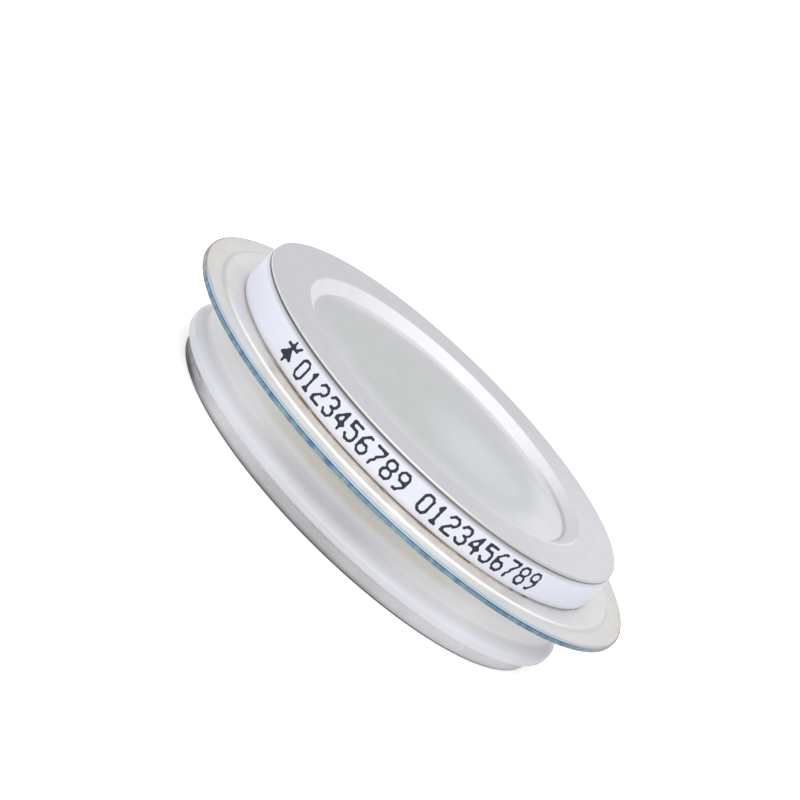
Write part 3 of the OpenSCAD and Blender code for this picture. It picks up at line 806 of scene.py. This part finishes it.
def ink_dots_tree():
    """Sets flat dots on a cylinder at points (arc length, 0, z) measured from the front."""
    tree, given = new_tree("Ink dots", [
        ("Radius", "Float"), ("Dot", "Float"), ("Depth", "Float"), ("Jitter", "Float"),
        ("Seed", "Int"), ("Material", "Material"),
    ])
    place = first(tree, "GeometryNodeInputPosition")
    shake = move(tree, "SCALE", draw(tree, given["Seed"], (-1.0, -1.0, -1.0), (1.0, 1.0, 1.0)), given["Jitter"])
    parts = split(tree, move(tree, "ADD", place, shake))
    angle = calc(tree, "DIVIDE", parts[0], given["Radius"])
    out_x, out_y = calc(tree, "SINE", angle), times(tree, calc(tree, "COSINE", angle), -1.0)
    out = join(tree, out_x, out_y)
    spot = join(tree, times(tree, out_x, given["Radius"]), times(tree, out_y, given["Radius"]), parts[2])
    points = first(tree, "GeometryNodeMeshToPoints", {"Mesh": given["Geometry"], "Position": spot})
    points = first(
        tree, "GeometryNodeStoreNamedAttribute", {"Geometry": points, "Name": "out", "Value": out},
        data_type="FLOAT_VECTOR", domain="POINT",
    )
    facing = first(tree, "GeometryNodeInputNamedAttribute", {"Name": "out"}, data_type="FLOAT_VECTOR")
    turn = first(tree, "FunctionNodeAlignRotationToVector", {"Vector": facing}, axis="Z")
    dot = first(
        tree, "GeometryNodeMeshCylinder", {"Vertices": 12, "Radius": given["Dot"], "Depth": given["Depth"]}
    )
    size = draw(tree, given["Seed"], 0.86, 1.12)
    return close_tree(tree, instances(tree, points, dot, turn, size), given["Material"])


def beads_tree():
    """Drops flattened beads along a circle where a noise value is high."""
    tree, given = new_tree("Braze beads", [
        ("Count", "Int"), ("Radius", "Float"), ("Height", "Float"), ("Bead", "Float"),
        ("Seed", "Int"), ("Material", "Material"),
    ])
    ring = first(tree, "GeometryNodeMeshCircle", {"Vertices": given["Count"], "Radius": given["Radius"]})
    lift = join(tree, z=given["Height"])
    ring = first(tree, "GeometryNodeSetPosition", {"Geometry": ring, "Offset": lift})
    place = first(tree, "GeometryNodeInputPosition")
    where = move(tree, "SCALE", place, 1 / MM)
    patch = span(tree, noise(tree, where, 0.16, 3.0), 0.5, 0.68)
    keep = first(
        tree, "FunctionNodeCompare", {0: patch, 1: draw(tree, given["Seed"], 0.0, 1.0)},
        data_type="FLOAT", operation="GREATER_THAN",
    )
    points = first(tree, "GeometryNodeMeshToPoints", {"Mesh": ring, "Selection": keep})
    tangent = move(tree, "CROSS_PRODUCT", place, (0.0, 0.0, 1.0))
    turn = first(tree, "FunctionNodeAlignRotationToVector", {"Vector": tangent}, axis="X")
    bead = first(tree, "GeometryNodeMeshIcoSphere", {"Radius": given["Bead"], "Subdivisions": 2})
    size = draw(tree, given["Seed"], (0.7, 0.3, 0.25), (3.2, 0.8, 0.6))
    return close_tree(tree, instances(tree, points, bead, turn, size), given["Material"])


def new_object(name, data):
    """A new object in the scene."""
    made = bpy.data.objects.new(name, data)
    bpy.context.scene.collection.objects.link(made)
    return made


def grow(name, mesh, tree, values):
    """Runs a tree on a mesh and keeps the result as a plain mesh object."""
    piece = new_object(name, mesh)
    modifier = piece.modifiers.new(tree.name, "NODES")
    modifier.node_group = tree
    for item in tree.interface.items_tree:
        if item.item_type == "SOCKET" and item.in_out == "INPUT" and item.name in values:
            modifier[item.identifier] = values[item.name]
    depsgraph = bpy.context.evaluated_depsgraph_get()
    made = bpy.data.meshes.new_from_object(piece.evaluated_get(depsgraph), depsgraph=depsgraph)
    piece.modifiers.clear()
    piece.data = made
    bpy.data.meshes.remove(mesh)
    made.name = name
    if not made.polygons:
        raise RuntimeError(name + " came out empty")
    return piece


def smooth(piece):
    """Smooth shading, with sharp edges where faces meet at more than 40 degrees."""
    piece.data.shade_smooth()
    piece.data.set_sharp_from_angle(angle=math.radians(40))
    return piece


def place_piece(piece, node=None):
    """Lets a piece ride on the capsule, and hides the CAD node that it stands for."""
    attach(piece, "root")
    if node:
        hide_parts(node)


def turned(name, slot, points, node=None, closed=True, give=None, wobble=0.0, wobble_scale=6.0, seed=0.0,
           segments=SEGMENTS, turn=None):
    """Makes and places a turned piece from its section. give tells how far each point follows the wobble."""
    if give is None:
        points = held(points, closed)
    mesh = bpy.data.meshes.new(name + "_section")
    mesh.from_pydata([(r, 0.0, z) for r, z in points], [], [])
    slack = mesh.attributes.new("give", "FLOAT", "POINT")
    slack.data.foreach_set("value", give or [0.0] * len(points))
    piece = grow(name, mesh, turned_ring_tree(), {
        "Segments": segments, "Rows": len(points) + (1 if closed else 0), "Wobble": wobble,
        "Wobble scale": wobble_scale, "Seed": seed, "Material": finish_for(slot),
    })
    smooth(piece)
    if turn is not None:
        piece.data.transform(turn)
    place_piece(piece, node)


# Operators

class MakeLid(bpy.types.Operator):
    """Pressed cathode lid with its contact recess"""
    bl_idname = "capsule.make_lid"
    bl_label = "Cathode lid"

    def execute(self, context):
        s = context.scene.capsule_lid
        half = s.sheet / 2
        rim_z, floor_z = s.top - half, LID_LOW + half
        step = (s.floor_radius, floor_z, s.mouth_radius, rim_z)
        points = [(0.0, LID_LOW)]
        points += pressed_step(*step, -half, s.bend)
        points += outer_edge(s.rim_radius, s.top - s.sheet, s.top, ROUND_SHARE * s.sheet)
        points += pressed_step(*step, half, s.bend)[::-1]
        points += [(0.0, LID_LOW + s.sheet)]
        turned("lid_sheet", "lid_nickel", points, "cathode_pan", closed=False)
        return {"FINISHED"}


class MakeCeramics(bpy.types.Operator):
    """The two white ceramic rings, the lower one with a rib at its foot"""
    bl_idname = "capsule.make_ceramics"
    bl_label = "Ceramic rings"

    def execute(self, context):
        s = context.scene.capsule_ceramic
        upper = [(s.bore, UPPER_Z)] + outer_edge(s.radius, UPPER_Z, UPPER_TOP, s.edge) + [(s.bore, UPPER_TOP)]
        turned("upper_ceramic", "white_ceramic", upper, "upper_ceramic_ring")
        side = LOWER_Z + s.rib_height
        slope = math.degrees(math.atan2(s.rib_shoulder, s.rib_radius - s.radius))
        turn = math.tan(math.radians(90 - slope) / 2)
        inner = s.rib_radius - s.rib_edge
        lower = [(s.bore, LOWER_Z)]
        lower += arc(inner, LOWER_Z + s.rib_edge, s.rib_edge, -90, 0)
        lower += arc(inner, side - s.rib_edge * turn, s.rib_edge, 0, 90 - slope)
        hollow = side + s.rib_shoulder + s.rib_fillet * turn
        lower += arc(s.radius + s.rib_fillet, hollow, s.rib_fillet, 270 - slope, 180)
        lower += arc(s.radius - s.edge, LOWER_TOP - s.edge, s.edge, 0, 90, 6)
        lower += [(s.bore, LOWER_TOP)]
        turned("lower_ceramic", "glazed_ceramic", lower, "lower_ceramic_ring")
        return {"FINISHED"}


# Radius of the weld bead, and how far its middle lies inside the rim
WELD_SIZE, WELD_INSET = 0.13 * MM, 0.17 * MM


class MakeFlange(bpy.types.Operator):
    """The two flange sheets and the weld bead that joins their rims"""
    bl_idname = "capsule.make_flange"
    bl_label = "Weld flange"

    def execute(self, context):
        s = context.scene.capsule_flange
        half, edge = s.sheet / 2, ROUND_SHARE * s.sheet
        step = (s.seat_radius, SEAT_TOP - half, s.land_radius, LAND_Z + half)
        upper = [(s.bore, SEAT_TOP - s.sheet)]
        upper += pressed_step(*step, -half)
        upper += outer_edge(s.radius, LAND_Z, LAND_Z + s.sheet, edge)
        upper += pressed_step(*step, half)[::-1]
        upper += [(s.bore, SEAT_TOP)]
        turned("upper_flange_sheet", "flange_nickel", upper, "upper_weld_flange")
        lower = [(s.bore, LOWER_SHEET_Z)]
        lower += outer_edge(s.radius, LOWER_SHEET_Z, LOWER_SHEET_TOP, edge)
        lower += [(s.bore, LOWER_SHEET_TOP)]
        turned("lower_flange_sheet", "flange_nickel", lower, "lower_weld_flange")
        bead = arc(s.radius - WELD_INSET, LAND_Z, WELD_SIZE, 0, 360, 10)[:-1]
        turned(
            "rim_weld", "flange_nickel", bead, give=[0.25] * len(bead), wobble=0.1 * MM, wobble_scale=60.0,
            seed=5.0, segments=FINE_SEGMENTS,
        )
        return {"FINISHED"}


class MakeBase(bpy.types.Operator):
    """Turned anode base with its contact recess underneath"""
    bl_idname = "capsule.make_base"
    bl_label = "Anode base"

    def execute(self, context):
        s = context.scene.capsule_base
        lid = context.scene.capsule_lid
        depth = lid.top - lid.sheet - LID_LOW
        points = [(0.0, depth)]
        points += pressed_step(lid.floor_radius, depth, lid.mouth_radius, BASE_Z, 0.0, lid.bend)
        points += outer_edge(s.radius, BASE_Z, s.rim_height, s.edge)
        points += [(s.pedestal_radius, s.rim_height), (s.pedestal_radius, BASE_TOP), (0.0, BASE_TOP)]
        turned("base_body", "base_nickel", points, "anode_base", closed=False)
        return {"FINISHED"}


# How far the braze beads stand out from the ceramic, and sit below its foot
BEAD_PROUD, BEAD_SINK = 0.10 * MM, 0.02 * MM


class MakeBraze(bpy.types.Operator):
    """Braze seams between ceramic and metal, and the beads along the foot of the upper ring"""
    bl_idname = "capsule.make_braze"
    bl_label = "Braze seams"

    def execute(self, context):
        s = context.scene.capsule_braze
        c = context.scene.capsule_ceramic
        # How far each seam lies inside its CAD ring, and how much it wanders
        seams = (
            ("lid_seam", "cathode_braze_ring", 0.0, 0.3),
            ("foot_seam", "upper_ceramic_braze_ring", 0.16 * MM, 0.8),
            ("neck_seam", "lower_ceramic_braze_ring", 0.0, 1.0),
            ("base_seam", "anode_braze_ring", 0.0, 0.4),
        )
        for k, (name, node, inset, give) in enumerate(seams):
            radius, low, high = node_box(node)
            outside = outer_edge(radius - inset, low, high, ROUND_SHARE * (high - low), 3)
            points = [(c.bore, low)] + outside + [(c.bore, high)]
            slack = [0.0] + [give] * len(outside) + [0.0]
            turned(
                name, "braze", points, node, give=slack, wobble=s.wobble, wobble_scale=11.0,
                seed=s.seed + 3.1 * k, segments=FINE_SEGMENTS,
            )
        blank = bpy.data.meshes.new("bead_places")
        beads = grow("foot_beads", blank, beads_tree(), {
            "Count": s.bead_count, "Radius": c.radius + BEAD_PROUD, "Height": UPPER_Z - BEAD_SINK,
            "Bead": s.bead_size, "Seed": s.seed, "Material": finish_for("braze"),
        })
        place_piece(smooth(beads))
        return {"FINISHED"}


# Small sizes of the gate tube, of the pin with its collar, and of the braze round the tube
TUBE_WALL, TUBE_EDGE = 0.35 * MM, 0.08 * MM
COLLAR_LENGTH, COLLAR_EDGE = 0.5 * MM, 0.1 * MM
PIN_FIT, PIN_ROOT, PIN_CHAMFER = 0.05 * MM, 0.12 * MM, 0.3 * MM
FILLET_DEPTH = 0.3 * MM


class MakeGate(bpy.types.Operator):
    """Gate tube with its braze fillet and terminal pin on the far side"""
    bl_idname = "capsule.make_gate"
    bl_label = "Gate terminal"

    def execute(self, context):
        s = context.scene.capsule_gate
        ceramic_r = context.scene.capsule_ceramic.radius
        bore = s.tube_radius - TUBE_WALL
        turn = Matrix.Translation((0.0, 0.0, s.height)) @ Matrix.Rotation(math.radians(-90), 4, "X")
        start = TUBE_LOW.y
        tube = [(bore, start), (s.tube_radius, start)]
        tube += arc(s.tube_radius - TUBE_EDGE, s.tube_end - TUBE_EDGE, TUBE_EDGE, 0, 90, 4) + [(bore, s.tube_end)]
        collar_end = s.tube_end + COLLAR_LENGTH
        collar = outer_edge(s.tube_radius, s.tube_end, collar_end, COLLAR_EDGE, 4)
        spigot = bore - PIN_FIT
        pin = [(0.0, PIN_LOW.y), (spigot, PIN_LOW.y), (spigot, s.tube_end)] + collar
        pin += arc(s.pin_radius + PIN_ROOT, collar_end + PIN_ROOT, PIN_ROOT, -90, -180, 4)
        pin += [(s.pin_radius, s.pin_end - PIN_CHAMFER), (s.pin_radius - PIN_CHAMFER, s.pin_end), (0.0, s.pin_end)]
        deep = ceramic_r - FILLET_DEPTH
        fillet = [(s.tube_radius, deep), (s.tube_radius + s.fillet, deep)]
        fillet += arc(s.tube_radius + s.fillet, ceramic_r + s.fillet, s.fillet, -90, -180, 6)
        give = [0.0] + [0.6] * (len(fillet) - 2) + [0.0]
        pieces = (
            ("gate_tube_body", "flange_nickel", tube, True, None, "gate_tube"),
            ("gate_pin_body", "lid_nickel", pin, False, None, "gate_terminal_pin"),
            ("gate_fillet", "braze", fillet, True, give, None),
        )
        for name, slot, points, closed, slack, node in pieces:
            turned(
                name, slot, points, node, closed, slack, wobble=0.12 * MM, wobble_scale=2.0, seed=4.0,
                segments=64, turn=turn,
            )
        return {"FINISHED"}


# Rows of dots, from the top
GLYPHS = {
    "0": "01110 10001 10001 10001 10001 10001 01110",
    "1": "00100 01100 00100 00100 00100 00100 01110",
    "2": "01110 10001 00001 00110 01000 10000 11111",
    "3": "01110 10001 00001 00110 00001 10001 01110",
    "4": "00010 00110 01010 10010 11111 00010 00010",
    "5": "11111 10000 11110 00001 00001 10001 01110",
    "6": "00110 01000 10000 11110 10001 10001 01110",
    "7": "11111 00001 00010 00100 00100 01000 01000",
    "8": "01110 10001 10001 01110 10001 10001 01110",
    "9": "01110 10001 10001 01111 00001 00010 01100",
}
SYMBOL = "000010001 000010010 011111110 000010000 000111000 001111100 011111110 000010000 000010000"
SYMBOL_COLUMN, SYMBOL_ROW = 0.4 * MM, 0.45 * MM
DOT_JITTER = 0.025 * MM


class MakePrint(bpy.types.Operator):
    """Dot-matrix print on the upper ring: the circuit symbol and plain digits"""
    bl_idname = "capsule.make_print"
    bl_label = "Ink print"

    def execute(self, context):
        s = context.scene.capsule_print
        radius = context.scene.capsule_ceramic.radius
        middle = (UPPER_Z + UPPER_TOP) / 2
        marks = [(s.symbol, SYMBOL, SYMBOL_COLUMN, SYMBOL_ROW)]
        for start in (s.first, s.second):
            marks += [(start + k * s.step, GLYPHS[digit], s.column, s.row) for k, digit in enumerate(s.digits)]
        places = []
        for angle, glyph, column, row in marks:
            lines = glyph.split()
            wide, high = len(lines[0]) - 1, len(lines) - 1
            cells = {(i, j) for j, line in enumerate(lines) for i, cell in enumerate(line) if cell == "1"}
            # A dot on each cell and one halfway to each neighbour, so that the strokes run on
            dots = set(cells)
            for i, j in cells:
                for a, b in ((1, 0), (0, 1), (1, 1), (-1, 1)):
                    if (i + a, j + b) in cells:
                        dots.add((i + a / 2, j + b / 2))
            for i, j in sorted(dots):
                places.append((angle * radius + (i - wide / 2) * column, 0.0, middle + (high / 2 - j) * row))
        mesh = bpy.data.meshes.new("dot_places")
        mesh.from_pydata(places, [], [])
        piece = grow("ink_print", mesh, ink_dots_tree(), {
            "Radius": radius, "Dot": s.dot, "Depth": 2 * s.depth, "Jitter": DOT_JITTER,
            "Seed": s.seed, "Material": finish_for("marking_ink"),
        })
        place_piece(piece)
        return {"FINISHED"}


class FinishInside(bpy.types.Operator):
    """Gives each CAD node that keeps its mesh the procedural finish of its slot"""
    bl_idname = "capsule.finish_inside"
    bl_label = "Inner parts"

    def execute(self, context):
        slots = {row["node"]: row["material_slot"] for row in frame["record"]["subparts"]}
        for name, node in frame["nodes"].items():
            finish = finish_for(slots[name])
            for place in node.material_slots:
                place.material = finish
        return {"FINISHED"}


def lay_floor(s):
    """White floor that keeps the shadow, and is white to the camera and in metal too."""
    half = 8.0
    corners = [(-half, -half, 0), (half, -half, 0), (half, half, 0), (-half, half, 0)]
    mesh = bpy.data.meshes.new("floor")
    mesh.from_pydata(corners, [], [(0, 1, 2, 3)])
    paint = bpy.data.materials.new("floor_white")
    tree = empty_tree(paint)
    matt = first(tree, "ShaderNodeBsdfDiffuse", {"Color": rgba(s.floor_color)})
    rays = add(tree, "ShaderNodeLightPath").outputs
    mirrored = calc(tree, "MAXIMUM", rays["Is Glossy Ray"], rays["Is Transmission Ray"])
    seen = times(tree, rays["Is Camera Ray"], s.floor_glow)
    seen = calc(tree, "MAXIMUM", times(tree, mirrored, s.floor_mirrored), seen)
    lift = first(tree, "ShaderNodeEmission", {"Strength": seen})
    both = first(tree, "ShaderNodeAddShader", {0: matt, 1: lift})
    add(tree, "ShaderNodeOutputMaterial", {"Surface": both})
    mesh.materials.append(paint)
    new_object("floor", mesh)


def white_room(s):
    """Even white light, a little stronger from above, from the front and from the left."""
    world = bpy.data.worlds.new("white_room")
    tree = empty_tree(world)
    way = split(tree, add(tree, "ShaderNodeTexCoord").outputs["Generated"])
    far = span(tree, way[1], 0.3, 0.8)
    # Two directions that a part of the room lies in, and how much lighter it is
    patches = (
        (span(tree, way[2], 0.5, 0.95), 1.0, 0.42),
        (span(tree, way[1], -0.15, -0.8), span(tree, way[2], 0.15, 0.6), 0.35),
        (span(tree, way[0], -0.3, -0.9), span(tree, way[2], 0.6, 0.1), 0.25),
        (span(tree, way[0], 0.45, 0.9), span(tree, way[2], 0.45, 0.05), -0.6),
        (far, span(tree, way[0], -0.35, 0.35), 0.3),
        (far, 1.0, -0.13),
    )
    level = 0.95
    for patch in patches:
        level = calc(tree, "ADD", level, times(tree, *patch))
    given = {"Color": (0.985, 0.99, 1.0, 1.0), "Strength": times(tree, level, s.sky)}
    add(tree, "ShaderNodeOutputWorld", {"Surface": first(tree, "ShaderNodeBackground", given)})
    return world


def hang_softbox(s):
    lamp = bpy.data.lights.new("softbox", "AREA")
    lamp.shape = "RECTANGLE"
    lamp.size, lamp.size_y = 0.7, 0.5
    lamp.energy = s.lamp
    box = new_object("softbox", lamp)
    box.location = (0.12, -0.5, 0.55)
    middle = Vector((0, 0, 0.012))
    box.rotation_euler = (middle - box.location).to_track_quat("-Z", "Y").to_euler()


def set_camera(s):
    """Camera on a sphere round the aim point, turned about its own view by the roll."""
    lens = bpy.data.cameras.new("camera")
    lens.sensor_width = 36.0
    lens.lens = s.lens
    lens.clip_start = 0.01
    camera = new_object("camera", lens)
    flat = math.cos(s.elevation)
    back = Vector((math.sin(s.azimuth) * flat, -math.cos(s.azimuth) * flat, math.sin(s.elevation)))
    camera.location = Vector(s.aim) + back * s.distance
    look = (-back).to_track_quat("-Z", "Y") @ Quaternion((0, 0, 1), s.roll)
    camera.rotation_euler = look.to_euler()
    return camera


class MakeStage(bpy.types.Operator):
    """White floor, even light, softbox and camera"""
    bl_idname = "capsule.make_stage"
    bl_label = "Stage"

    def execute(self, context):
        scene = context.scene
        s = scene.capsule_stage
        lay_floor(s)
        scene.world = white_room(s)
        hang_softbox(s)
        scene.camera = set_camera(s)
        scene.view_settings.view_transform = "Standard"
        return {"FINISHED"}


PIECES = (MakeLid, MakeCeramics, MakeFlange, MakeBase, MakeBraze, MakeGate, MakePrint, FinishInside)


class CapsulePanel(bpy.types.Panel):
    """Lists the capsule's pieces and its stage"""
    bl_idname = "VIEW3D_PT_capsule"
    bl_label = "Disc thyristor"
    bl_space_type = "VIEW_3D"
    bl_region_type = "UI"
    bl_category = "Capsule"

    def draw(self, context):
        for made in PIECES + (MakeStage,):
            self.layout.operator(made.bl_idname)
        for name, group in GROUPS.items():
            box = self.layout.box()
            settings = getattr(context.scene, name)
            for key in group.__annotations__:
                box.prop(settings, key)


CLASSES = tuple(GROUPS.values()) + PIECES + (MakeStage, CapsulePanel)


def register():
    for made in CLASSES:
        bpy.utils.register_class(made)
    for name, group in GROUPS.items():
        setattr(bpy.types.Scene, name, PointerProperty(type=group))


def unregister():
    for name in GROUPS:
        delattr(bpy.types.Scene, name)
    for made in reversed(CLASSES):
        bpy.utils.unregister_class(made)


def main():
    register()
    for made in PIECES + (MakeStage,):
        group, name = made.bl_idname.split(".")
        getattr(getattr(bpy.ops, group), name)()


if __name__ == "__main__":
    main()
